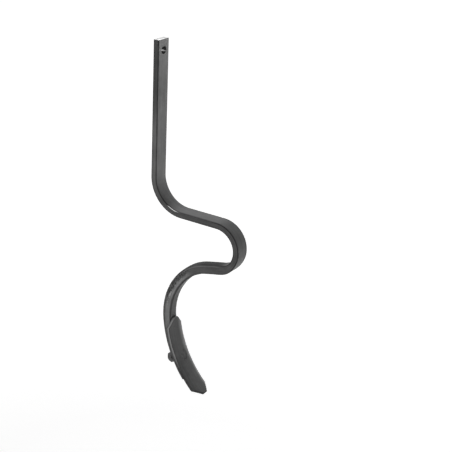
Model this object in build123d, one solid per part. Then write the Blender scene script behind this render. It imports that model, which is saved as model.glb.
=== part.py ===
from build123d import *
from math import atan2, cos, degrees, radians, sin, sqrt, tan
import os

# Track eradicator tine. Millimetres. +Z is up, +X points from the shank towards the loop, Y is across the bar.
# The origin is the centre of the mounting hole, at half the bar's thickness.
# The bar's front is the side towards +X on the straight shank, so it is the outside of the loop and the
# hollow side of the leg. Its back is the other wide side.

# Overall sizes of the tine, and the height of its top end above the underside of the upper run
overall_height = 570.0
overall_depth = 165.0
upper_part_height = 270.0

# Mounting hole in the shank
hole_diameter = 12.0
hole_from_end = 16.5

# Flat stock of the shank, the upper run and the loop
flat_width = 25.0
flat_thickness = 10.0
flat_corner = 1.0

# Square stock of the lower run and the leg
square_side = 17.0
square_corner = 3.0

# Centreline of the bar: bend radii, the turns of the bends below the upper run in degrees, one straight run
first_bend_radius = 52.0
loop_radius = 37.0
loop_turn = 167.0
lower_run_length = 29.5
rear_bend_radius = 76.0
rear_bend_turn = 26.5
leg_turn = 55.0
foot_radius = 180.0

# Forging from flat to square: where it starts as an angle round the loop, and its length along the bar
squaring_start_angle = 115.0
squaring_length = 44.0
squaring_sections = 9

# Reversible share: pressed to a shallow arch that hugs the bar, its length measured along the bar's front
share_length = 141.5
share_width = 35.0
share_thickness = 4.0
share_arch = 4.5
share_tip_width = 8.0
share_taper_length = 15.5
share_shoulder_radius = 1.5
share_tip_radius = 3.0
share_edge_round = 0.5
share_seat_gap = 0.05
bar_end_setback = 39.0

# Plough bolt with a countersunk head and a square neck, a little above the middle of the share
bolt_diameter = 10.0
bolt_head_diameter = 16.0
bolt_head_angle = 90.0
bolt_head_sink = 0.2
bolt_neck_side = 10.0
bolt_neck_end_gap = 0.2
bolt_end_projection = 3.0
bolt_end_bevel = 1.0
bolt_hole_clearance = 0.5
share_hole_clearance = 0.15
bolt_above_middle = 3.0

# Hexagon nut
nut_across_flats = 16.0
nut_height = 8.0
nut_face_diameter = 15.0
nut_bevel_angle = 30.0
nut_seat_gap = 0.02
thread_clearance = 0.05


def straight_after(previous, length):
    """A straight that leaves the end of the previous piece along its direction."""
    return Line(previous @ 1, previous @ 1 + (previous % 1) * length)


def arc_after(previous, radius, turn):
    """An arc tangent to the end of the previous piece; a positive turn is anticlockwise."""
    return JernArc(previous @ 1, previous % 1, radius, turn)


def fall_round(radius, start, end):
    """How far the centreline falls round an anticlockwise arc between two headings in degrees."""
    return radius * (cos(radians(end)) - cos(radians(start)))


def eased(done):
    """Eased share of a change, from 0 to 1."""
    return done * done * (3 - 2 * done)


def mix(first, last, done):
    return first + (last - first) * done


# The share's back is an arch that touches the bar's two rounded front corners
half_width = share_width / 2
half_tip = share_tip_width / 2
arch_radius = (half_width**2 + share_arch**2) / (2 * share_arch)
front_radius = arch_radius + share_thickness
corner_centre = square_side / 2 - square_corner
corner_reach = arch_radius - square_corner - share_seat_gap
arch_centre = corner_centre - sqrt(corner_reach**2 - corner_centre**2)

# Straights that follow from the overall sizes
shank_length = upper_part_height - flat_thickness / 2 - first_bend_radius
upper_run_length = overall_depth - flat_thickness - first_bend_radius - loop_radius

# Headings of the centreline in degrees, anticlockwise from +X as seen with +X right and +Z up
lower_run_heading = -loop_turn
leg_start_heading = lower_run_heading + rear_bend_turn
foot_start_heading = leg_start_heading + leg_turn
share_angle = degrees(share_length / (foot_radius - square_side / 2))
tip_heading = foot_start_heading + share_angle

# The leg's radius takes up the rest of the height, down to the back edge of the share's lower tip
taper_turn = atan2(share_taper_length, half_width - half_tip)
tip_edge_half = half_tip - share_tip_radius * tan(taper_turn / 2)
tip_level = arch_centre + sqrt(arch_radius**2 - tip_edge_half**2)
loop_fall = loop_radius * (1 - cos(radians(lower_run_heading)))
lower_run_fall = -lower_run_length * sin(radians(lower_run_heading))
rear_bend_fall = fall_round(rear_bend_radius, lower_run_heading, leg_start_heading)
foot_fall = fall_round(foot_radius, foot_start_heading, tip_heading)
tip_fall = -tip_level * cos(radians(tip_heading))
fall_above_leg = shank_length + first_bend_radius + loop_fall + lower_run_fall + rear_bend_fall
leg_fall = overall_height - fall_above_leg - foot_fall - tip_fall
leg_radius = leg_fall / fall_round(1, leg_start_heading, foot_start_heading)

# The centreline below the shank, piece by piece, drawn in its own plane
first_bend = JernArc((0, hole_from_end - shank_length), (0, -1), first_bend_radius, 90)
upper_run = straight_after(first_bend, upper_run_length)
loop = arc_after(upper_run, loop_radius, -loop_turn)
lower_run = straight_after(loop, lower_run_length)
rear_bend = arc_after(lower_run, rear_bend_radius, rear_bend_turn)
leg = arc_after(rear_bend, leg_radius, leg_turn)
foot = arc_after(leg, foot_radius, share_angle)
pieces = [Plane.XZ * piece.edge() for piece in (first_bend, upper_run, loop, lower_run, rear_bend, leg, foot)]
line = Wire(pieces)
foot_centre = Plane.XZ.from_local_coords(foot.arc_center)

# Distances along the centreline from the start of the first bend
squaring_start = first_bend.length + upper_run_length + radians(squaring_start_angle) * loop_radius
squaring_end = squaring_start + squaring_length
share_top = line.length - foot.length
share_middle = line.length - foot.length / 2
bolt_distance = share_middle - bolt_above_middle
bar_end = line.length - bar_end_setback

# Levels of the share, bolt and nut, measured from the bar's centreline towards its front
share_front_level = arch_centre + front_radius
head_top = arch_centre + sqrt(front_radius**2 - (bolt_head_diameter / 2) ** 2) - bolt_head_sink
head_height = (bolt_head_diameter - bolt_diameter) / 2 / tan(radians(bolt_head_angle / 2))
neck_end_level = square_side / 2 + bolt_neck_end_gap
nut_seat_level = -square_side / 2 - nut_seat_gap
bolt_end_level = nut_seat_level - nut_height - bolt_end_projection


def frame_at(distance):
    """Plane across the bar at a distance along it: x is along +Y, y towards the bar's front."""
    spot = line.position_at(distance, PositionMode.LENGTH)
    heading = line.tangent_at(distance, PositionMode.LENGTH)
    return Plane(origin=spot, x_dir=(0, 1, 0), z_dir=heading)


def carried(section, place, length, centre=None):
    """A section carried along the bar from its place: straight on, or round the centre of a bend."""
    if centre is None:
        return extrude(place * section, amount=length)
    spoke = place.origin - centre
    turn = degrees(length / spoke.length)
    return revolve(place * section, Axis(centre, spoke.cross(place.z_dir)), turn)


def bar_along(start, end, width, thickness, corner):
    """Lengths of bar of one rounded section, one for each piece of the centreline between two distances."""
    section = RectangleRounded(width, thickness, corner)
    lengths = []
    reached = 0
    for piece in pieces:
        low = max(start, reached)
        reached += piece.length
        length = min(end, reached) - low
        if length > 0:
            centre = piece.arc_center if piece.geom_type == GeomType.CIRCLE else None
            lengths.append(carried(section, frame_at(low), length, centre))
    return lengths


def squaring():
    """The length where the flat stock is forged to square."""
    sections = []
    for step in range(squaring_sections):
        done = step / (squaring_sections - 1)
        width = mix(flat_width, square_side, eased(done))
        thickness = mix(flat_thickness, square_side, eased(done))
        corner = mix(flat_corner, square_corner, eased(done))
        place = frame_at(squaring_start + done * squaring_length)
        sections.append(place * RectangleRounded(width, thickness, corner))
    return loft(sections)


def bolt_frame():
    """Frame of the bolt: z out of the bar's front, x along +Y."""
    place = frame_at(bolt_distance)
    return Plane(origin=place.origin, x_dir=(0, 1, 0), z_dir=place.y_dir)


def tine_bar():
    """The spring-steel bar in one piece: shank, loop, leg and foot, with its two bolt holes."""
    shank_section = RectangleRounded(flat_width, flat_thickness, flat_corner)
    lengths = [carried(shank_section, frame_at(0), -shank_length)]
    lengths += bar_along(0, squaring_start, flat_width, flat_thickness, flat_corner)
    lengths.append(squaring())
    lengths += bar_along(squaring_end, bar_end, square_side, square_side, square_corner)
    bar = lengths[0].fuse(*lengths[1:])
    bar -= Rot(0, 90, 0) * Cylinder(hole_diameter / 2, 2 * flat_thickness)
    return bar - bolt_frame() * Cylinder(bolt_diameter / 2 + bolt_hole_clearance, 2 * square_side)


def share_plan():
    """Plan of one end of the share from its tip, long enough to pass its middle."""
    outline = Polyline(
        (half_width, share_length),
        (-half_width, share_length),
        (-half_width, share_taper_length),
        (-half_tip, 0),
        (half_tip, 0),
        (half_width, share_taper_length),
        (half_width, share_length),
    )
    plan = fillet(make_face(outline).vertices().sort_by(Axis.Y)[:2], share_tip_radius)
    shoulders = plan.vertices().sort_by(lambda spot: abs(spot.Y - share_taper_length))[:2]
    return fillet(shoulders, share_shoulder_radius)


def share_half(start, tip, inward):
    """Half of the share: an arched strip from its start, cut to the plan of its end.

    The tip is the distance of that end, and inward is 1 at the top end, -1 at the foot end.
    """
    ring = Circle(front_radius) - Circle(arch_radius)
    window = Pos(0, arch_radius) * Rectangle(share_width + 2 * share_thickness, arch_radius)
    profile = Pos(0, arch_centre) * (ring & window)
    strip = carried(profile, frame_at(start), foot.length / 2, foot_centre)
    at_tip = frame_at(tip)
    along = at_tip.z_dir * inward
    plan_frame = Plane(origin=at_tip.origin, x_dir=along.cross(at_tip.y_dir), z_dir=at_tip.y_dir)
    return strip & extrude(plan_frame * share_plan(), amount=share_length / 2, both=True)


def on_front(edge):
    """Whether an edge lies on the share's front face."""
    spot = edge @ 0.5
    reach = foot_radius - Vector(spot.X - foot_centre.X, 0, spot.Z - foot_centre.Z).length
    return abs(Vector(spot.Y, reach - arch_centre).length - front_radius) < share_seat_gap


def share_hole():
    """The countersunk hole of the share with its square neck."""
    narrow = bolt_diameter / 2 + share_hole_clearance
    wide = bolt_head_diameter / 2 + share_hole_clearance
    square = bolt_neck_side + 2 * share_hole_clearance
    hole = Pos(0, 0, head_top - head_height / 2) * Cone(narrow, wide, head_height)
    hole += Pos(0, 0, head_top + share_thickness / 2) * Cylinder(wide, share_thickness)
    return hole + Pos(0, 0, share_front_level) * Box(square, square, 4 * share_thickness)


def share():
    """The share: a plate pointed at both ends, its front edges eased, with its countersunk hole."""
    plate = share_half(share_top, share_top, 1) + share_half(share_middle, line.length, -1)
    plate = fillet(plate.edges().filter_by(on_front), share_edge_round)
    return plate - bolt_frame() * share_hole()


def share_bolt():
    """The plough bolt: a flush countersunk head, a square neck and a plain stem in place of its thread."""
    head = Pos(0, 0, head_top - head_height / 2) * Cone(bolt_diameter / 2, bolt_head_diameter / 2, head_height)
    neck_length = head_top - neck_end_level
    neck = Pos(0, 0, head_top - neck_length / 2) * Box(bolt_neck_side, bolt_neck_side, neck_length)
    stem = Cylinder(bolt_diameter / 2, head_top - bolt_end_level)
    stem = chamfer(stem.edges().sort_by(Axis.Z)[0], bolt_end_bevel)
    return head + neck + Pos(0, 0, (head_top + bolt_end_level) / 2) * stem


def share_nut():
    """The hexagon nut behind the bar, bevelled on both faces, with a plain bore in place of its thread."""
    half_height = nut_height / 2
    nut = extrude(RegularPolygon(nut_across_flats / 2, 6, major_radius=False), amount=half_height, both=True)
    face_radius = nut_face_diameter / 2
    bevel_drop = (nut_across_flats - face_radius) * tan(radians(nut_bevel_angle))
    outline = Polyline(
        (0, half_height),
        (face_radius, half_height),
        (nut_across_flats, half_height - bevel_drop),
        (nut_across_flats, bevel_drop - half_height),
        (face_radius, -half_height),
        (0, -half_height),
        close=True,
    )
    nut &= revolve(Plane.XZ * make_face(outline), Axis.Z)
    nut -= Cylinder(bolt_diameter / 2 + thread_clearance, 2 * nut_height)
    return Pos(0, 0, nut_seat_level - half_height) * nut


nodes = {
    "tine_bar": tine_bar(),
    "share": share(),
    "share_bolt": bolt_frame() * share_bolt(),
    "share_nut": bolt_frame() * share_nut(),
}

os.makedirs("parts", exist_ok=True)
for name, node in nodes.items():
    export_step(node, f"parts/{name}.step")

whole = Compound(list(nodes.values())).bounding_box()
print(f"height {whole.size.Z:.2f}, width {whole.size.Y:.2f}, depth {whole.size.X:.2f}")
print(f"shank {shank_length:.2f}, upper run {upper_run_length:.2f}, leg radius {leg_radius:.2f}")
print(f"share's front {share_front_level:.2f} before the centreline")
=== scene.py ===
import math

import bpy
from mathutils import Matrix, Vector


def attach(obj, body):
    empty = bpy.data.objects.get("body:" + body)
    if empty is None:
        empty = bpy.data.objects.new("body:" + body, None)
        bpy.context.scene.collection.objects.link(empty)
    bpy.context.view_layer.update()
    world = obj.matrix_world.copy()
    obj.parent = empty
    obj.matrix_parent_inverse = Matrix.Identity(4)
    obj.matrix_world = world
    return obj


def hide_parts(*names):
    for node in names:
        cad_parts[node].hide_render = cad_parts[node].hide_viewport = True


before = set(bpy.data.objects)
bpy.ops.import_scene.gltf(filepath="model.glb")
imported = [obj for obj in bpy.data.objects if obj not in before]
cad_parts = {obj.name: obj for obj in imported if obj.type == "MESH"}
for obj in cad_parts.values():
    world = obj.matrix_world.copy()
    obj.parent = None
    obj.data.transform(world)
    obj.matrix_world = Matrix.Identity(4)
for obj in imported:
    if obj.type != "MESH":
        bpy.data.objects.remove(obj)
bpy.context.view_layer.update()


# Tine bar: one length of hot-bent spring steel, with a flat drilled shank, a bend, a run and a spring loop.
# The loop's last third is forged to a square bar, which goes on as the curved leg behind the share.
# Its dark skin is furnace scale: streaks along the bar, mottled bloom, hammer waves, and pits on the leg.
shank_length = 0.213
hole_to_top_end = 0.0165
mounting_hole_diameter = 0.012
first_bend_radius = 0.052
upper_run_length = 0.066
loop_radius = 0.037
loop_turn = -167.0
lower_run_length = 0.0295
rear_bend_radius = 0.076
rear_bend_turn = 26.5
leg_radius = 0.10543
leg_turn = 55.0
foot_radius = 0.18
share_back_length = 0.1415
flat_width = 0.025
flat_thickness = 0.01
flat_corner = 0.001
square_side = 0.017
square_corner = 0.003
squaring_start_turn = 115.0
squaring_length = 0.044
foot_end_to_share_tip = 0.039
bolt_above_share_middle = 0.003
bolt_hole_diameter = 0.011
end_edge_round = 0.0006
pits_start = 0.52
pits_full = 0.55
pits_fading = 0.59
pits_end = 0.622
pit_size = 0.0036
pit_depth = 0.0006
pit_noise_range = (0.46, 0.58)
pit_level_range = (0.003, -0.001)
wave_size = 0.016
wave_depth = 0.0005
wave_crest = 0.8
drill_length = 0.05
drill_sides = 64
sharp_angle = math.radians(38)
shank_step = 0.003
bend_step = 0.001
share_turn = math.degrees(share_back_length / (foot_radius - square_side / 2))
foot_length = foot_radius * math.radians(share_turn)

# Each piece of the bar from its top end down, as its length and the angle in degrees that it turns through
bar_pieces = (
    (shank_length, 0.0),
    (first_bend_radius * math.radians(90), 90.0),
    (upper_run_length, 0.0),
    (loop_radius * math.radians(-loop_turn), loop_turn),
    (lower_run_length, 0.0),
    (rear_bend_radius * math.radians(rear_bend_turn), rear_bend_turn),
    (leg_radius * math.radians(leg_turn), leg_turn),
    (foot_length, share_turn),
)
share_end = sum(length for length, turn in bar_pieces)
share_start = share_end - foot_length
bar_length = share_end - foot_end_to_share_tip
bolt_distance = share_start + foot_length / 2 - bolt_above_share_middle
loop_start = sum(length for length, turn in bar_pieces[:3])
squaring_start = loop_start + loop_radius * math.radians(squaring_start_turn)


def walk_centreline(step):
    """Points of the bar's centreline from its top end down, as (distance, x, z, heading)."""
    x, z, heading, distance = 0.0, hole_to_top_end, math.radians(-90), 0.0
    points = [(distance, x, z, heading)]
    for length, turn in bar_pieces:
        parts = max(1, math.ceil(length / step))
        turned = math.radians(turn) / parts
        chord = length / parts * (math.sin(turned / 2) / (turned / 2) if turned else 1.0)
        for _ in range(parts):
            x += chord * math.cos(heading + turned / 2)
            z += chord * math.sin(heading + turned / 2)
            heading += turned
            distance += length / parts
            points.append((distance, x, z, heading))
    return points


def frame_of_bar(distance):
    """Place on the centreline, way down the bar and way to its front, at a distance from the top end."""
    before, x, z, heading = [p for p in centreline if p[0] <= distance + 1e-9][-1]
    down = Vector((math.cos(heading), 0, math.sin(heading)))
    return Vector((x, 0, z)) + (distance - before) * down, down, Vector((-down.z, 0, down.x))


def section_ring(corner_steps, side_steps):
    """Points round a rounded rectangle as (corner across, corner level, facing across, facing level)."""
    ring = []
    corners = ((-1, 1), (1, 1), (1, -1), (-1, -1))
    for n, (across, level) in enumerate(corners):
        first = math.radians(180 - 90 * n)
        for step in range(corner_steps + 1):
            angle = first - math.radians(90) * step / corner_steps
            ring.append((across, level, math.cos(angle), math.sin(angle)))
        to_across, to_level = corners[(n + 1) % 4]
        for step in range(1, side_steps):
            done = step / side_steps
            here = across + (to_across - across) * done, level + (to_level - level) * done
            ring.append((*here, math.cos(angle), math.sin(angle)))
    return ring


def new_piece(name, points, faces):
    mesh = bpy.data.meshes.new(name)
    mesh.from_pydata(points, [], faces)
    piece = bpy.data.objects.new(name, mesh)
    bpy.context.scene.collection.objects.link(piece)
    return piece


def tube_blank(name, distances, ring, edge_round):
    """Closed tube of section points that a node tree lays out along the bar, with rounded end edges."""
    turns = [math.radians(30) * n for n in range(3)]
    rounding = [(edge_round * (1 - math.cos(a)), edge_round * (1 - math.sin(a))) for a in turns]
    first, last = distances[0], distances[-1]
    plain = [along for along in distances if first + edge_round <= along <= last - edge_round]
    stations = [(first + along, inset, 1.0 if along == 0 else 0.0) for along, inset in rounding]
    stations += [(along, 0.0, 0.0) for along in plain]
    stations += [(last - along, inset, 1.0 if along == 0 else 0.0) for along, inset in rounding[::-1]]
    count = len(ring)
    faces = [list(range(count))[::-1], [(len(stations) - 1) * count + k for k in range(count)]]
    for row in range(len(stations) - 1):
        for k in range(count):
            after = (k + 1) % count
            low, high = row * count, (row + 1) * count
            faces.append([low + k, low + after, high + after, high + k])
    piece = new_piece(name, [(0, 0, 0)] * (count * len(stations)), faces)
    fields = {
        "along": ("FLOAT", [s[0] for s in stations for _ in ring]),
        "cut_end": ("FLOAT", [s[2] for s in stations for _ in ring]),
        "corner": ("FLOAT_VECTOR", [v for s in stations for r in ring for v in (r[0], r[1], s[1])]),
        "facing": ("FLOAT_VECTOR", [v for s in stations for r in ring for v in (r[2], r[3], 0.0)]),
    }
    for title, (kind, values) in fields.items():
        field = piece.data.attributes.new(title, kind, "POINT")
        field.data.foreach_set("value" if kind == "FLOAT" else "vector", values)
    return piece


def add_node(tree, kind, inputs=(), **settings):
    """Adds a node, sets its properties, and fills its inputs with values or other sockets."""
    node = tree.nodes.new(kind)
    for key, value in settings.items():
        setattr(node, key, value)
    for key, value in dict(inputs).items():
        socket = node.inputs[key]
        if isinstance(value, bpy.types.NodeSocket):
            tree.links.new(value, socket)
        else:
            socket.default_value = value
    return node


def maths(tree, operation, *values):
    inputs = dict(enumerate(values))
    return add_node(tree, "ShaderNodeMath", inputs, operation=operation).outputs[0]


def product(tree, first, *others):
    for other in others:
        first = maths(tree, "MULTIPLY", first, other)
    return first


def xyz_of(tree, vector):
    return add_node(tree, "ShaderNodeSeparateXYZ", {0: vector}).outputs


def vector_of(tree, *parts):
    return add_node(tree, "ShaderNodeCombineXYZ", dict(enumerate(parts))).outputs[0]


def vector_maths(tree, operation, *values):
    keys = {"SCALE": (0, "Scale")}.get(operation, (0, 1))
    node = add_node(tree, "ShaderNodeVectorMath", dict(zip(keys, values)), operation=operation)
    return node.outputs["Value" if operation == "LENGTH" else "Vector"]


def spread(tree, value, low, high, to_low=0.0, to_high=1.0, smooth=False):
    """Maps a value's range to another, clamped."""
    inputs = {"Value": value, "From Min": low, "From Max": high, "To Min": to_low, "To Max": to_high}
    kind = "SMOOTHSTEP" if smooth else "LINEAR"
    return add_node(tree, "ShaderNodeMapRange", inputs, interpolation_type=kind).outputs[0]


def band(tree, value, start, full, full_end, end):
    """One from full to full_end, fading out to start and to end."""
    rise = spread(tree, value, start, full, smooth=True)
    return product(tree, rise, spread(tree, value, end, full_end, smooth=True))


def new_geometry_tree(name, sockets):
    """Node tree for a modifier, with a geometry in and out and the given named inputs."""
    tree = bpy.data.node_groups.new(name, "GeometryNodeTree")
    tree.interface.new_socket("Geometry", in_out="INPUT", socket_type="NodeSocketGeometry")
    for title, kind in sockets:
        tree.interface.new_socket(title, in_out="INPUT", socket_type=kind)
    tree.interface.new_socket("Geometry", in_out="OUTPUT", socket_type="NodeSocketGeometry")
    return tree, tree.nodes.new("NodeGroupInput").outputs, tree.nodes.new("NodeGroupOutput").inputs


def run_geometry_tree(piece, tree, values):
    """Runs a tree on a piece and leaves the result as its plain mesh."""
    modifier = piece.modifiers.new(tree.name, "NODES")
    modifier.node_group = tree
    items = [item for item in tree.interface.items_tree if item.in_out == "INPUT"]
    names = {item.name: item.identifier for item in items}
    for title, value in values.items():
        modifier[names[title]] = value
    bpy.context.view_layer.update()
    evaluated = piece.evaluated_get(bpy.context.evaluated_depsgraph_get())
    made = bpy.data.meshes.new_from_object(evaluated)
    piece.modifiers.remove(modifier)
    made.name = piece.name
    piece.data = made


def named_field(tree, title, kind):
    return add_node(tree, "GeometryNodeInputNamedAttribute", {"Name": title}, data_type=kind).outputs[0]


def kept_field(tree, geometry, title, kind, value):
    """Stores a value on the points, so that the finish can read where on the section a spot lies."""
    inputs = {"Geometry": geometry, "Name": title, "Value": value}
    kinds = {"data_type": kind, "domain": "POINT"}
    return add_node(tree, "GeometryNodeStoreNamedAttribute", inputs, **kinds).outputs[0]


def object_info(tree, thing):
    """Shape and place of another object, as the piece itself sees them."""
    return add_node(tree, "GeometryNodeObjectInfo", {"Object": thing}, transform_space="RELATIVE").outputs


def forged_bar_tree():
    """Lays the section along the centreline, forges it to a square, dents the leg and drills the holes."""
    floats = "Flat Width", "Flat Thickness", "Flat Corner", "Square Side", "Square Corner"
    floats += "Squaring Start", "Squaring Length", "Wave Depth", "Wave Size", "Pit Depth", "Pit Size"
    floats += "Pits Start", "Pits Full", "Pits Fading", "Pits End", "Mounting Hole", "Bolt Hole"
    sockets = [(title, "NodeSocketFloat") for title in floats]
    sockets += [("Centreline", "NodeSocketObject"), ("Bolt Place", "NodeSocketObject")]
    sockets += [("Finish", "NodeSocketMaterial")]
    tree, given, result = new_geometry_tree("forged_bar", sockets)
    along = named_field(tree, "along", "FLOAT")
    corner = xyz_of(tree, named_field(tree, "corner", "FLOAT_VECTOR"))
    facing = xyz_of(tree, named_field(tree, "facing", "FLOAT_VECTOR"))
    squaring_end = maths(tree, "ADD", given["Squaring Start"], given["Squaring Length"])
    squared = spread(tree, along, given["Squaring Start"], squaring_end, smooth=True)

    def forged(flat, square):
        sizes = {0: squared, 2: given[flat], 3: given[square]}
        return add_node(tree, "ShaderNodeMix", sizes).outputs[0]

    width = forged("Flat Width", "Square Side")
    thickness = forged("Flat Thickness", "Square Side")
    rounding = forged("Flat Corner", "Square Corner")
    reach = maths(tree, "SUBTRACT", rounding, corner[2])

    def out_from_middle(whole, n):
        straight = maths(tree, "SUBTRACT", maths(tree, "DIVIDE", whole, 2.0), rounding)
        return maths(tree, "MULTIPLY_ADD", facing[n], reach, maths(tree, "MULTIPLY", corner[n], straight))

    across, level = out_from_middle(width, 0), out_from_middle(thickness, 1)

    def to_edge(whole, place):
        return maths(tree, "SUBTRACT", maths(tree, "DIVIDE", whole, 2.0), maths(tree, "ABSOLUTE", place))

    from_corner = maths(tree, "MAXIMUM", to_edge(width, across), to_edge(thickness, level))
    section = vector_of(tree, across, level, from_corner)
    route = {"Curves": object_info(tree, given["Centreline"])["Geometry"], "Length": along}
    sampled = add_node(tree, "GeometryNodeSampleCurve", route, mode="LENGTH").outputs
    front = vector_maths(tree, "CROSS_PRODUCT", sampled["Tangent"], (0.0, 1.0, 0.0))
    front = vector_maths(tree, "NORMALIZE", front)

    def off_line(to_side, to_front):
        sideways = vector_of(tree, 0.0, to_side)
        return vector_maths(tree, "ADD", vector_maths(tree, "SCALE", front, to_front), sideways)

    place = vector_maths(tree, "ADD", sampled["Position"], off_line(across, level))
    outward = off_line(facing[0], facing[1])

    def hammering(size, detail):
        scale = maths(tree, "DIVIDE", 1.0, given[size])
        inputs = {"Vector": place, "Scale": scale, "Detail": detail}
        return add_node(tree, "ShaderNodeTexNoise", inputs).outputs[0]

    pit = spread(tree, hammering("Pit Size", detail=2.0), *pit_noise_range, smooth=True)
    to_side = maths(tree, "POWER", maths(tree, "ABSOLUTE", facing[0]), 3.0)
    stretch = "Pits Start", "Pits Full", "Pits Fading", "Pits End"
    pitted = band(tree, along, *[given[title] for title in stretch])
    pit = product(tree, pit, to_side, pitted, spread(tree, level, *pit_level_range, smooth=True))
    wave = maths(tree, "SUBTRACT", hammering("Wave Size", detail=1.0), wave_crest)
    dent = product(tree, wave, squared, given["Wave Depth"])
    dent = maths(tree, "SUBTRACT", dent, product(tree, pit, given["Pit Depth"]))
    place = vector_maths(tree, "ADD", place, vector_maths(tree, "SCALE", outward, dent))
    shaped = {"Geometry": given["Geometry"], "Position": place}
    shaped = add_node(tree, "GeometryNodeSetPosition", shaped).outputs[0]
    shaped = kept_field(tree, shaped, "section", "FLOAT_VECTOR", section)
    shaped = kept_field(tree, shaped, "pit", "FLOAT", pit)

    def drill(diameter, **where):
        radius = maths(tree, "DIVIDE", given[diameter], 2.0)
        bit = {"Vertices": drill_sides, "Radius": radius, "Depth": drill_length}
        bit = add_node(tree, "GeometryNodeMeshCylinder", bit).outputs["Mesh"]
        return add_node(tree, "GeometryNodeTransform", {"Geometry": bit, **where}).outputs[0]

    bolt = object_info(tree, given["Bolt Place"])
    drilled = {"operation": "DIFFERENCE", "solver": "EXACT"}
    drilled = add_node(tree, "GeometryNodeMeshBoolean", {0: shaped}, **drilled)
    mounting_bit = drill("Mounting Hole", Rotation=(0.0, math.radians(90), 0.0))
    bolt_bit = drill("Bolt Hole", Translation=bolt["Location"], Rotation=bolt["Rotation"])
    tree.links.new(mounting_bit, drilled.inputs[1])
    tree.links.new(bolt_bit, drilled.inputs[1])
    smooth_and_finish(tree, drilled.outputs["Mesh"], given["Finish"], result)
    return tree


def smooth_and_finish(tree, mesh, finish, result):
    """Shades a mesh smooth between its sharp edges, makes it real and gives it its finish."""
    smooth = {"Geometry": mesh, "Shade Smooth": True}
    smooth = add_node(tree, "GeometryNodeSetShadeSmooth", smooth, domain="FACE").outputs[0]
    angle = add_node(tree, "GeometryNodeInputMeshEdgeAngle").outputs["Unsigned Angle"]
    sharp = {0: angle, 1: sharp_angle}
    sharp = add_node(tree, "FunctionNodeCompare", sharp, operation="GREATER_THAN").outputs[0]
    creased = {"Geometry": smooth, "Selection": sharp, "Shade Smooth": False}
    creased = add_node(tree, "GeometryNodeSetShadeSmooth", creased, domain="EDGE").outputs[0]
    real = add_node(tree, "GeometryNodeRealizeInstances", {0: creased}).outputs[0]
    finished = {"Geometry": real, "Material": finish}
    tree.links.new(add_node(tree, "GeometryNodeSetMaterial", finished).outputs[0], result[0])


def steel_material(name, ior):
    """Satin steel to build on: returns the material, its tree, its shader and the object coordinates."""
    material = bpy.data.materials.new(name)
    material.use_nodes = True
    tree = material.node_tree
    shader = tree.nodes["Principled BSDF"]
    shader.inputs["IOR"].default_value = ior
    return material, tree, shader, tree.nodes.new("ShaderNodeTexCoord").outputs["Object"]


def noise(tree, place, scale, detail=3.0, roughness=0.55):
    inputs = {"Vector": place, "Scale": scale, "Detail": detail, "Roughness": roughness}
    return add_node(tree, "ShaderNodeTexNoise", inputs).outputs[0]


def grey(tree, tone):
    return add_node(tree, "ShaderNodeCombineColor", {0: tone, 1: tone, 2: tone}).outputs[0]


def blended(tree, amount, first, second):
    return add_node(tree, "ShaderNodeMix", {0: amount, 2: first, 3: second}).outputs[0]


def add_relief(tree, shader, strength, distance, height):
    relief = {"Strength": strength, "Distance": distance, "Height": height}
    tree.links.new(add_node(tree, "ShaderNodeBump", relief).outputs[0], shader.inputs["Normal"])


def varied(tree, pattern, low, high):
    """Turns a noise, which lies mostly between 0.3 and 0.7, into another range."""
    return spread(tree, pattern, 0.3, 0.7, low, high)


def marked(tree, tone, where, change):
    """Lightens or darkens a tone by a share of itself where a mark lies."""
    return product(tree, tone, maths(tree, "MULTIPLY_ADD", where, change, 1.0))


# Tones on the shank, from the first bend, and past the loop, and the stretches over which one turns to the
# next. They are partly painted light: the narrow sides, which the lamps light less, are painted lighter than
# the wide faces, most of all low on the shank, the top end of the shank is painted lighter, and the leg's
# narrow sides carry painted shade. A stretch gives two or four distances down the bar from its top end, and a
# level is the way from the section's middle to the bar's front.
wide_face_tones = (0.38, 0.3, 0.16)
wide_face_changes = (0.19, 0.3), (0.35, 0.42)
narrow_side_tones = (0.4, 0.95, 0.5)
narrow_side_changes = (0.08, 0.16), (0.19, 0.27)
scale_tone = 0.3
leg_side_painted_shade = -0.2
top_end_painted_light_stretch = (0.0, 0.075)
top_end_painted_light_gain = 1.6
side_facing = (0.55, 0.85)
wide_facing = (0.4, 0.2)

# Grain of the scale: how many blotches of each pattern lie in a metre, and how far they change the tone
streaks_along = 16.0
streaks_across = 420.0
bloom_density = 60.0
grain_density = 900.0
fine_pit_density = 420.0
saw_mark_density = (90.0, 900.0, 900.0)
streak_change = (0.8, 1.2)
bloom_change = (0.86, 1.14)

# Painted shade along the corners, fainter on the upper run and on the back of the square bar. Painted shade
# also darkens the rim of the far side from the upper run on, and the back face of the square bar.
wide_corner_width = (0.0006, 0.0022)
wide_corner_painted_shade = 0.7
side_corner_width = (0.0006, 0.0026)
side_corner_painted_shade = 0.28
corner_shade_fade_stretch = (0.26, 0.3, 0.345, 0.37)
corner_shade_fade_share = 0.75
far_half = (0.0, 0.001)
far_rim_stretch = (0.29, 0.33)
far_rim_width = (0.003, 0.001)
far_rim_painted_shade = -0.5
back_level = (0.0, -0.004)
back_face_stretch = (0.43, 0.455)
back_face_level = (-0.002, -0.004)
back_face_painted_shade = -0.35

# Painted highlight in a band along the leg's side, which widens towards the share, painted highlight in a
# line along the side's back half from the lower run to the leg, and the specks and pits of the leg
painted_light_widening_stretch = (0.575, 0.61)
painted_light_lowest_level = (-0.0008, -0.005)
painted_light_fade_width = 0.003
painted_light_highest_level = (0.0038, 0.0068)
painted_light_change = (2.6, 1.9)
side_line_highlight_stretch = (0.465, 0.475, 0.54, 0.56)
side_line_highlight_level = (-0.0062, -0.0054, -0.005, -0.0042)
side_line_highlight_change = 0.8
speck_level = (0.003, 0.0)
speck_noise_range = (0.4, 0.6)
speck_change = (-0.45, 0.6)
pit_darkness = 0.2
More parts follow.
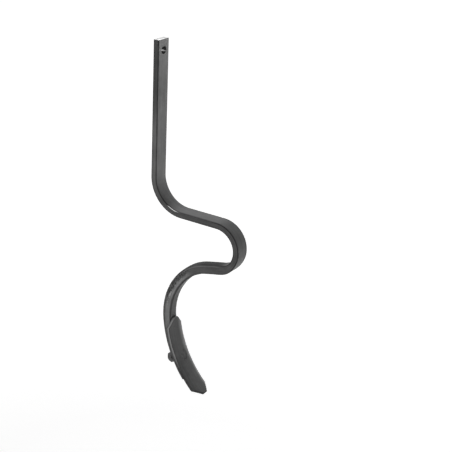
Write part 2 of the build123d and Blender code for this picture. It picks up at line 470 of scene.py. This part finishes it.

# Bare steel: a painted glint on the first bend's corner, the sawn top end, and a painted highlight line in
# the hole
glint_stretch = (0.265, 0.27, 0.282, 0.296)
glint_across = (-0.0117, -0.012)
glint_level = (0.003, 0.0034, 0.0039, 0.0044)
glint_brightness = 0.3
bore_tone = 0.11
bore_highlight_height = (-0.004, -0.003, -0.0018, -0.0008)
sawn_tones = (0.3, 0.44)
cut_end_edge = (0.5, 0.8)

# Gloss: the scale is satin, and dull along the bar's corners and on the back of its square part
scale_roughness = (0.38, 0.52)
bare_roughness = 0.35
dull_corner_width = (0.0006, 0.003)
dull_corner_roughness = 0.85
back_face_roughness = 0.7


def tone_along(tree, along, tones, first_change, second_change):
    """Tone of the scale down the bar, which changes twice, each time over a stretch of it."""
    tone = blended(tree, spread(tree, along, *first_change, smooth=True), tones[0], tones[1])
    return blended(tree, spread(tree, along, *second_change, smooth=True), tone, tones[2])


def rolled_scale_material():
    """Dark scale: streaks along the bar, painted shade and highlights, pits on the leg, bare steel where it
    was cut.
    """
    material, tree, shader, spot = steel_material("rolled_scale", 1.25)

    def field(title, output="Fac"):
        return add_node(tree, "ShaderNodeAttribute", attribute_name=title).outputs[output]

    along, cut_end, pit = field("along"), field("cut_end"), field("pit")
    section = field("section", "Vector")
    across, level, from_corner = xyz_of(tree, section)
    normal = tree.nodes.new("ShaderNodeNewGeometry").outputs["Normal"]
    sideways = maths(tree, "ABSOLUTE", xyz_of(tree, normal)[1])
    on_side = spread(tree, sideways, *side_facing, smooth=True)
    squared = spread(tree, along, squaring_start, squaring_start + squaring_length, smooth=True)
    on_leg = spread(tree, along, pits_start, pits_full, smooth=True)

    streak_across = product(tree, across, streaks_across), product(tree, level, streaks_across)
    streak_place = vector_of(tree, product(tree, along, streaks_along), *streak_across)
    streaks = noise(tree, streak_place, 1.0, 4.0, 0.6)
    bloom = noise(tree, spot, bloom_density, 3.0, 0.6)
    grain = noise(tree, spot, grain_density, 2.0, 0.6)
    # The tones down the bar are partly painted light: lighter narrow sides and top end, and painted shade on
    # the leg's narrow sides
    wide = tone_along(tree, along, wide_face_tones, *wide_face_changes)
    wide = product(tree, wide, spread(tree, along, *top_end_painted_light_stretch, top_end_painted_light_gain, 1.0))
    narrow = tone_along(tree, along, narrow_side_tones, *narrow_side_changes)
    narrow = marked(tree, narrow, on_leg, leg_side_painted_shade)
    tone = product(tree, blended(tree, on_side, wide, narrow), scale_tone)
    tone = product(tree, tone, varied(tree, streaks, *streak_change))
    tone = product(tree, tone, varied(tree, bloom, *bloom_change))

    # Painted shade along the corners, fainter on the upper run and on the back of the square bar
    wide_corner = spread(tree, from_corner, *wide_corner_width, wide_corner_painted_shade, 1.0, smooth=True)
    side_corner = spread(tree, from_corner, *side_corner_width, side_corner_painted_shade, 1.0, smooth=True)
    corner = blended(tree, on_side, wide_corner, side_corner)
    on_back = product(tree, squared, spread(tree, level, *back_level))
    corner_shade_fade = maths(tree, "MAXIMUM", on_back, band(tree, along, *corner_shade_fade_stretch))
    corner = blended(tree, product(tree, corner_shade_fade, corner_shade_fade_share), corner, 1.0)
    # Painted shade on the rim of the far side
    far_rim = product(tree, spread(tree, across, *far_half), spread(tree, along, *far_rim_stretch))
    far_rim = product(tree, far_rim, spread(tree, from_corner, *far_rim_width, smooth=True))
    tone = marked(tree, tone, far_rim, far_rim_painted_shade)
    # Painted shade on the back face of the square bar
    back_face = product(tree, spread(tree, along, *back_face_stretch), spread(tree, level, *back_face_level))
    back_face = product(tree, back_face, spread(tree, sideways, *wide_facing, smooth=True))
    tone = marked(tree, tone, back_face, back_face_painted_shade)

    # Painted highlight in a band along the leg's side
    painted_light_start = spread(tree, along, *painted_light_widening_stretch, *painted_light_lowest_level, smooth=True)
    painted_light_full = maths(tree, "ADD", painted_light_start, painted_light_fade_width)
    leg_highlight = band(tree, level, painted_light_start, painted_light_full, *painted_light_highest_level)
    leg_highlight = product(tree, leg_highlight, on_side, on_leg)
    painted_light_gain = spread(tree, along, *painted_light_widening_stretch, *painted_light_change, smooth=True)
    tone = marked(tree, product(tree, tone, corner), leg_highlight, painted_light_gain)
    # Painted highlight in a line along the side's back half
    side_line_highlight = product(tree, band(tree, level, *side_line_highlight_level), on_side)
    side_line_highlight = product(tree, side_line_highlight, band(tree, along, *side_line_highlight_stretch))
    tone = marked(tree, tone, side_line_highlight, side_line_highlight_change)
    pitted = band(tree, along, pits_start, pits_full, pits_fading, pits_end)
    pitted = product(tree, pitted, on_side, spread(tree, level, *speck_level, smooth=True))
    specks = noise(tree, spot, fine_pit_density, 1.0)
    specks = spread(tree, specks, *speck_noise_range, *speck_change, smooth=True)
    pitted = maths(tree, "SUBTRACT", product(tree, pitted, specks), product(tree, pit, pit_darkness))
    tone = product(tree, tone, maths(tree, "ADD", pitted, 1.0))

    # Painted glint on the first bend's corner, made as bright bare steel
    glint = band(tree, along, *glint_stretch)
    glint = product(tree, glint, spread(tree, across, *glint_across))
    glint = product(tree, glint, band(tree, level, *glint_level))
    # The walls that the drills leave carry none of the bar's attributes, so all are zero there
    drilled = maths(tree, "LESS_THAN", maths(tree, "ADD", along, cut_end), 0.00002)
    # Painted highlight line in the mounting hole, made as bare steel
    bore_highlight = product(tree, drilled, band(tree, xyz_of(tree, spot)[2], *bore_highlight_height))
    tone = blended(tree, drilled, tone, bore_tone)
    bare = maths(tree, "MAXIMUM", spread(tree, cut_end, *cut_end_edge), glint)
    bare = maths(tree, "MAXIMUM", bare, bore_highlight)
    saw_place = {"Vector": spot, "Scale": saw_mark_density}
    saw_marks = noise(tree, add_node(tree, "ShaderNodeMapping", saw_place).outputs[0], 1.0, 3.0)
    sawn_tone = varied(tree, saw_marks, *sawn_tones)
    bare_tone = maths(tree, "MULTIPLY_ADD", glint, glint_brightness, sawn_tone)
    tone = blended(tree, bare, tone, bare_tone)
    tree.links.new(grey(tree, tone), shader.inputs["Base Color"])
    tree.links.new(bare, shader.inputs["Metallic"])

    worn = maths(tree, "ADD", product(tree, streaks, 0.5), product(tree, grain, 0.5))
    dull = spread(tree, from_corner, *dull_corner_width, dull_corner_roughness, 0.0, smooth=True)
    dull = blended(tree, on_back, dull, product(tree, back_face, back_face_roughness))
    dull = maths(tree, "MAXIMUM", varied(tree, worn, *scale_roughness), dull)
    tree.links.new(blended(tree, bare, dull, bare_roughness), shader.inputs["Roughness"])
    relief = maths(tree, "ADD", product(tree, streaks, 0.25), product(tree, grain, 0.12))
    fine_pits = product(tree, noise(tree, spot, fine_pit_density, 3.0, 0.65), squared, 0.6)
    add_relief(tree, shader, 0.3, 0.0005, maths(tree, "ADD", relief, fine_pits))
    return material


centreline = walk_centreline(bend_step)
route = bpy.data.curves.new("bar_centreline", "CURVE")
route.dimensions = "3D"
spline = route.splines.new("POLY")
spline.points.add(len(centreline) - 1)
spline.points.foreach_set("co", [v for d, x, z, h in centreline for v in (x, 0.0, z, 1.0)])
route = bpy.data.objects.new("bar_centreline", route)
bpy.context.scene.collection.objects.link(route)

bolt_spot, bolt_down, bolt_front = frame_of_bar(bolt_distance)
bolt_place = bpy.data.objects.new("bolt_place", None)
bolt_place.matrix_world = Matrix((
    (0, bolt_down.x, bolt_front.x, bolt_spot.x),
    (-1, bolt_down.y, bolt_front.y, bolt_spot.y),
    (0, bolt_down.z, bolt_front.z, bolt_spot.z),
    (0, 0, 0, 1),
))
bpy.context.scene.collection.objects.link(bolt_place)
bpy.context.view_layer.update()

bent_length = bar_length - shank_length
steps = [n * shank_step for n in range(int(shank_length / shank_step))]
steps += [shank_length + n * bend_step for n in range(int(bent_length / bend_step))]
ring = section_ring(corner_steps=6, side_steps=14)
bar = tube_blank("spring_bar", steps + [bar_length], ring, end_edge_round)
run_geometry_tree(bar, forged_bar_tree(), {
    "Flat Width": flat_width,
    "Flat Thickness": flat_thickness,
    "Flat Corner": flat_corner,
    "Square Side": square_side,
    "Square Corner": square_corner,
    "Squaring Start": squaring_start,
    "Squaring Length": squaring_length,
    "Wave Depth": wave_depth,
    "Wave Size": wave_size,
    "Pit Depth": pit_depth,
    "Pit Size": pit_size,
    "Pits Start": pits_start,
    "Pits Full": pits_full,
    "Pits Fading": pits_fading,
    "Pits End": pits_end,
    "Mounting Hole": mounting_hole_diameter,
    "Bolt Hole": bolt_hole_diameter,
    "Centreline": route,
    "Bolt Place": bolt_place,
    "Finish": rolled_scale_material(),
})
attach(bar, "root")
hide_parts("tine_bar")
bpy.data.objects.remove(route)


# Share: a reversible piece pressed from hardened plate, pointed at both ends and arched across to hug the
# bar. One bolt holds it. The skin of its front is smooth and dark, and its upper edges are rubbed bare.
share_width = 0.035
share_tip_width = 0.008
share_taper_length = 0.0155
share_thickness = 0.004
share_arch = 0.0045
arch_radius = ((share_width / 2) ** 2 + share_arch**2) / (2 * share_arch)
corner_centre = square_side / 2 - square_corner
arch_centre = corner_centre - math.sqrt((arch_radius - square_corner) ** 2 - corner_centre**2)
front_radius = arch_radius + share_thickness
share_top_spot, _, share_top_front = frame_of_bar(share_start)
foot_centre = share_top_spot + share_top_front * foot_radius
share_start_angle = math.atan2(-share_top_front.z, -share_top_front.x)
plate_tone = 0.054
edge_tone = 0.17
plate_roughness = (0.44, 0.58)
scuffs_along = 22.0
scuffs_across = 380.0
scuff_change = (0.85, 1.15)
plate_bloom_density = 70.0
plate_bloom_change = (0.88, 1.12)
plate_grain_density = 1100.0

# Marks on the share: a stretch gives two distances down its back from its top end, and a start, full or place
# is measured across from its middle. The far half carries painted light, the rims at the lower end and along
# the near edge carry painted shade, and edges are worn bare.
far_painted_light_stretch = (0.05, 0.085)
far_painted_light_start = (0.002, 0.009)
far_painted_light_full = 0.0168
far_painted_light_gain = 3.2
lightening_stretch = (0.03, 0.12)
lightening_gains = (0.84, 1.25)
rim_painted_shade_width = (0.0014, 0.0006)
rim_painted_shade_strength = 0.65
lower_end_stretch = (0.125, 0.13)
near_edge_place = (-0.014, -0.0155)
near_edge_stretch = (0.09, 0.07)
edge_wear_width = 0.0008
edge_wear_fade = (1.0, 0.3)
edge_wear_stretch = (0.096, 0.06)
lower_edge_wear = 0.1
edge_wear_depth = (0.0022, 0.0042)
back_edge_wear = 0.35


def pressed_plate_material():
    """Smooth dark skin of hardened plate, with faint scuffs along its length, worn edges, and painted light
    and shade.
    """
    material, tree, shader, spot = steel_material("hardened_plate", 1.2)
    x, y, z = xyz_of(tree, spot)
    back = maths(tree, "SUBTRACT", x, foot_centre.x), maths(tree, "SUBTRACT", z, foot_centre.z)
    angle = maths(tree, "ARCTAN2", back[1], back[0])
    along = maths(tree, "SUBTRACT", angle, share_start_angle)
    along = product(tree, along, foot_radius - square_side / 2)
    from_tip = maths(tree, "MINIMUM", along, maths(tree, "SUBTRACT", share_back_length, along))
    slope = (share_width - share_tip_width) / 2 / share_taper_length
    half_width = maths(tree, "MULTIPLY_ADD", from_tip, slope, share_tip_width / 2)
    half_width = maths(tree, "MINIMUM", half_width, share_width / 2)
    to_outline = maths(tree, "SUBTRACT", half_width, maths(tree, "ABSOLUTE", y))
    to_outline = maths(tree, "MINIMUM", to_outline, from_tip)
    scuff_place = vector_of(tree, product(tree, along, scuffs_along), product(tree, y, scuffs_across))
    scuffs = noise(tree, scuff_place, 1.0, 4.0, 0.6)
    bloom = noise(tree, spot, plate_bloom_density, 3.0, 0.6)
    grain = noise(tree, spot, plate_grain_density, 2.0, 0.6)
    tone = product(tree, varied(tree, scuffs, *scuff_change), plate_tone)
    tone = product(tree, tone, varied(tree, bloom, *plate_bloom_change))
    # Painted light on the far half of the share's front
    painted_light_start = spread(tree, along, *far_painted_light_stretch, *far_painted_light_start, smooth=True)
    tone = product(tree, tone, spread(tree, y, painted_light_start, far_painted_light_full, 1.0, far_painted_light_gain, smooth=True))
    tone = product(tree, tone, spread(tree, along, *lightening_stretch, *lightening_gains))

    # Painted shade along the rims at the lower end and the near edge
    near_edge = product(tree, spread(tree, y, *near_edge_place), spread(tree, along, *near_edge_stretch))
    rim_places = maths(tree, "MAXIMUM", spread(tree, along, *lower_end_stretch), near_edge)
    rim_painted_shade = spread(tree, to_outline, *rim_painted_shade_width, 0.0, rim_painted_shade_strength, smooth=True)
    tone = marked(tree, tone, product(tree, rim_painted_shade, rim_places), -1.0)

    ragged = product(tree, bloom, edge_wear_width)
    wear = spread(tree, maths(tree, "DIVIDE", to_outline, ragged), *edge_wear_fade, smooth=True)
    wear = product(tree, wear, spread(tree, along, *edge_wear_stretch, lower_edge_wear, 1.0, smooth=True))
    out = vector_maths(tree, "LENGTH", vector_of(tree, *back))
    arch = maths(tree, "SUBTRACT", front_radius**2, product(tree, y, y))
    depth = maths(tree, "ADD", maths(tree, "SQRT", arch), arch_centre - foot_radius)
    depth = maths(tree, "ADD", depth, out)
    wear = product(tree, wear, spread(tree, depth, *edge_wear_depth, 1.0, back_edge_wear, smooth=True))
    tone = blended(tree, wear, tone, edge_tone)
    tree.links.new(wear, shader.inputs["Metallic"])
    tree.links.new(grey(tree, tone), shader.inputs["Base Color"])
    worn = maths(tree, "ADD", product(tree, scuffs, 0.6), product(tree, grain, 0.4))
    tree.links.new(varied(tree, worn, *plate_roughness), shader.inputs["Roughness"])
    relief = maths(tree, "ADD", product(tree, scuffs, 0.3), product(tree, grain, 0.15))
    add_relief(tree, shader, 0.25, 0.0004, relief)
    return material


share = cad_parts["share"]
share.data.materials.clear()
share.data.materials.append(pressed_plate_material())


# Share bolt and nut: a forged plough bolt, with a countersunk head flush in the share and a square neck that
# keeps it from turning. Its rolled thread comes out behind the bar, where a plain hexagon nut pulls it tight.
bolt_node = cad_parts["share_bolt"]
bolt_levels = [(vertex.co - bolt_spot).dot(bolt_front) for vertex in bolt_node.data.vertices]
head_top, bolt_end = max(bolt_levels), min(bolt_levels)
head_radius = 0.008
stem_radius = 0.005
neck_half = 0.005
neck_clearance = 0.0002
neck_end = square_side / 2 + neck_clearance
neck_shoulder = 0.00001
head_edge = 0.0003
head_step = 0.001
end_bevel = 0.001
thread_in_bar = 0.001
thread_start = -square_side / 2 + thread_in_bar
thread_pitch = 0.0015
thread_depth = 0.0009
thread_run_out = 0.0015
thread_flanks = (0.12, 0.88)
steps_per_pitch = 10
turns_round = 48
fastener_roughness = (0.34, 0.48)
fastener_bloom_change = (0.7, 1.3)
fastener_bloom_density = 220.0
fastener_grain_density = 800.0
bolt_tone = 0.055
nut_tone = 0.18


def bolt_radius(level, angle):
    """Half the width of the plain bolt in a direction, at a level along it."""
    radius = min(stem_radius, stem_radius - end_bevel + (level - bolt_end))
    if level >= neck_end - 1e-9:
        square = neck_half / max(abs(math.cos(angle)), abs(math.sin(angle)))
        cone = head_radius - (head_top - level)
        edge = head_radius - head_edge + (head_top - level)
        radius = max(min(cone, edge), min(square, cone + neck_half), radius)
    return radius


def bolt_blank(name):
    """The plain bolt along its own axis: head, neck and stem as rings round it, closed at both ends."""
    levels = [head_top, head_top - head_edge] + [head_top - n * head_step for n in (1, 2, 3)]
    levels += [neck_end, neck_end - neck_shoulder]
    step = thread_pitch / steps_per_pitch
    count = math.ceil((neck_end - bolt_end) / step)
    levels += [neck_end + (bolt_end - neck_end) * n / count for n in range(1, count + 1)]
    angles = [2 * math.pi * k / turns_round for k in range(turns_round)]
    points = []
    for level in levels:
        for angle in angles:
            radius = bolt_radius(level, angle)
            points.append((radius * math.cos(angle), radius * math.sin(angle), level))
    last = (len(levels) - 1) * turns_round
    faces = [list(range(turns_round)), [last + k for k in range(turns_round)][::-1]]
    for row in range(len(levels) - 1):
        for k in range(turns_round):
            after = (k + 1) % turns_round
            low, high = row * turns_round, (row + 1) * turns_round
            faces.append([low + k, high + k, high + after, low + after])
    return new_piece(name, points, faces)


def rolled_thread_tree():
    """Rolls a helical thread into the stem behind its start, and sets the bolt in its place."""
    sockets = [(title, "NodeSocketFloat") for title in ("Thread Start", "Pitch", "Depth", "Run Out")]
    sockets += [("Bolt Place", "NodeSocketObject"), ("Finish", "NodeSocketMaterial")]
    tree, given, result = new_geometry_tree("rolled_thread", sockets)
    spot = tree.nodes.new("GeometryNodeInputPosition").outputs[0]
    x, y, z = xyz_of(tree, spot)
    turned = maths(tree, "DIVIDE", maths(tree, "ARCTAN2", y, x), 2 * math.pi)
    phase = maths(tree, "FRACT", maths(tree, "ADD", maths(tree, "DIVIDE", z, given["Pitch"]), turned))
    groove = maths(tree, "ABSOLUTE", maths(tree, "MULTIPLY_ADD", phase, 2.0, -1.0))
    groove = spread(tree, groove, *thread_flanks)
    run_out = maths(tree, "SUBTRACT", given["Thread Start"], given["Run Out"])
    groove = product(tree, groove, spread(tree, z, given["Thread Start"], run_out, smooth=True))
    inward = vector_maths(tree, "MULTIPLY", spot, (-1.0, -1.0, 0.0))
    inward = vector_maths(tree, "NORMALIZE", inward)
    sunk = vector_maths(tree, "SCALE", inward, product(tree, groove, given["Depth"]))
    sunk = {"Geometry": given["Geometry"], "Offset": sunk}
    threaded = add_node(tree, "GeometryNodeSetPosition", sunk).outputs[0]
    bolt = object_info(tree, given["Bolt Place"])
    placed = {"Geometry": threaded, "Translation": bolt["Location"], "Rotation": bolt["Rotation"]}
    placed = add_node(tree, "GeometryNodeTransform", placed).outputs[0]
    smooth_and_finish(tree, placed, given["Finish"], result)
    return tree


def fastener_material(name, fastener_tone):
    """Plain dark bolt steel, blotched and with a fine grain."""
    material, tree, shader, spot = steel_material(name, 1.2)
    grain = noise(tree, spot, fastener_grain_density, 3.0, 0.6)
    bloom = noise(tree, spot, fastener_bloom_density, 3.0, 0.6)
    tone = product(tree, varied(tree, bloom, *fastener_bloom_change), fastener_tone)
    tree.links.new(grey(tree, tone), shader.inputs["Base Color"])
    tree.links.new(varied(tree, grain, *fastener_roughness), shader.inputs["Roughness"])
    add_relief(tree, shader, 0.25, 0.0003, grain)
    return material


bolt = bolt_blank("plough_bolt")
run_geometry_tree(bolt, rolled_thread_tree(), {
    "Thread Start": thread_start,
    "Pitch": thread_pitch,
    "Depth": thread_depth,
    "Run Out": thread_run_out,
    "Bolt Place": bolt_place,
    "Finish": fastener_material("bolt_steel", bolt_tone),
})
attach(bolt, "root")
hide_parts("share_bolt")
bpy.data.objects.remove(bolt_place)
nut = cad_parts["share_nut"]
nut.data.materials.clear()
nut.data.materials.append(fastener_material("nut_steel", nut_tone))


# Floor, light and camera: the tine floats on plain white in the photograph, so the pale floor lies far below.
# Soft panels stand low at the right, high behind and weakly in front, so that the near edges stay dark.
floor_level = -0.95
floor_reach = 6.0
floor_tone = 0.8
near_lift = 0.46
far_lift = 0.95
lift_change = (0.5, 2.5)
world_strength = 0.12
tine_middle = Vector((0.06, 0.0, -0.27))
photo_width = 452.0
focal_length_in_pixels = 1073.38
camera_place = (0.92612, -1.26826, 0.37545)
camera_yaw, camera_pitch, camera_roll = 32.18, 22.65, 2.72


def seen_by_eye(tree):
    """One on what the camera sees, plainly or in steel or glass, and zero on what only lights the tine."""
    rays = tree.nodes.new("ShaderNodeLightPath").outputs
    seen = maths(tree, "MAXIMUM", rays["Is Camera Ray"], rays["Is Glossy Ray"])
    return maths(tree, "MAXIMUM", seen, rays["Is Transmission Ray"])


def pale_floor_material():
    """Pale floor that takes the shadow, lifted to white where the camera or a shiny surface sees it.

    The lift is smaller near the tine, where the lamps light the floor more, so that its shadow shows.
    """
    material = bpy.data.materials.new("pale_floor")
    material.use_nodes = True
    tree = material.node_tree
    tree.nodes.clear()
    pale = {"Color": (floor_tone, floor_tone, floor_tone, 1.0)}
    pale = add_node(tree, "ShaderNodeBsdfDiffuse", pale).outputs[0]
    away = tree.nodes.new("ShaderNodeTexCoord").outputs["Object"]
    away = vector_maths(tree, "LENGTH", vector_maths(tree, "MULTIPLY", away, (1.0, 1.0, 0.0)))
    lift = product(tree, seen_by_eye(tree), spread(tree, away, *lift_change, near_lift, far_lift))
    lift = {"Color": (1.0, 1.0, 1.0, 1.0), "Strength": lift}
    lift = add_node(tree, "ShaderNodeEmission", lift).outputs[0]
    shown = add_node(tree, "ShaderNodeAddShader", {0: pale, 1: lift}).outputs[0]
    tree.links.new(shown, add_node(tree, "ShaderNodeOutputMaterial").inputs["Surface"])
    return material


corners = ((-1, -1), (1, -1), (1, 1), (-1, 1))
corners = [(x * floor_reach, y * floor_reach, floor_level) for x, y in corners]
floor = new_piece("pale_floor", corners, [(0, 1, 2, 3)])
floor.data.materials.append(pale_floor_material())

world = bpy.data.worlds.new("studio")
bpy.context.scene.world = world
world.use_nodes = True
tree = world.node_tree
tree.nodes.clear()
soft = {"Color": (1.0, 1.0, 1.0, 1.0), "Strength": world_strength}
soft = add_node(tree, "ShaderNodeBackground", soft).outputs[0]
white = {"Color": (1.0, 1.0, 1.0, 1.0), "Strength": 1.0}
white = add_node(tree, "ShaderNodeBackground", white).outputs[0]
shown = add_node(tree, "ShaderNodeMixShader", {0: seen_by_eye(tree), 1: soft, 2: white}).outputs[0]
tree.links.new(shown, add_node(tree, "ShaderNodeOutputWorld").inputs["Surface"])


def soft_lamp(name, place, size, power):
    """A soft panel that looks at the middle of the tine."""
    lamp = bpy.data.lights.new(name, "AREA")
    lamp.shape = "RECTANGLE"
    lamp.size, lamp.size_y = size
    lamp.energy = power
    holder = bpy.data.objects.new(name, lamp)
    holder.location = place
    aim = tine_middle - Vector(place)
    holder.rotation_euler = aim.to_track_quat("-Z", "Y").to_euler()
    bpy.context.scene.collection.objects.link(holder)


soft_lamp("right_low_panel", place=(1.35, 0.35, -0.85), size=(0.6, 1.2), power=30.0)
soft_lamp("top_back_panel", place=(-0.5, 0.6, 1.3), size=(0.8, 1.0), power=25.0)
soft_lamp("front_panel", place=(-0.7, -1.9, -0.1), size=(0.4, 1.4), power=6.0)

camera_data = bpy.data.cameras.new("studio_camera")
camera_data.sensor_width = 36.0
camera_data.lens = focal_length_in_pixels * camera_data.sensor_width / photo_width
camera_data.dof.use_dof = False
camera = bpy.data.objects.new("studio_camera", camera_data)
yaw, pitch, roll = [math.radians(angle) for angle in (camera_yaw, camera_pitch, camera_roll)]
level_ahead = Vector((-math.sin(yaw), math.cos(yaw), 0.0))
ahead = math.cos(pitch) * level_ahead - math.sin(pitch) * Vector((0.0, 0.0, 1.0))
right = Vector((math.cos(yaw), math.sin(yaw), 0.0))
up = right.cross(ahead)
rolled_right = math.cos(roll) * right + math.sin(roll) * up
rolled_up = math.cos(roll) * up - math.sin(roll) * right
turn = Matrix((rolled_right, rolled_up, -ahead)).transposed()
camera.matrix_world = Matrix.Translation(camera_place) @ turn.to_4x4()
bpy.context.scene.collection.objects.link(camera)
bpy.context.scene.camera = camera
bpy.context.scene.view_settings.view_transform = "Standard"
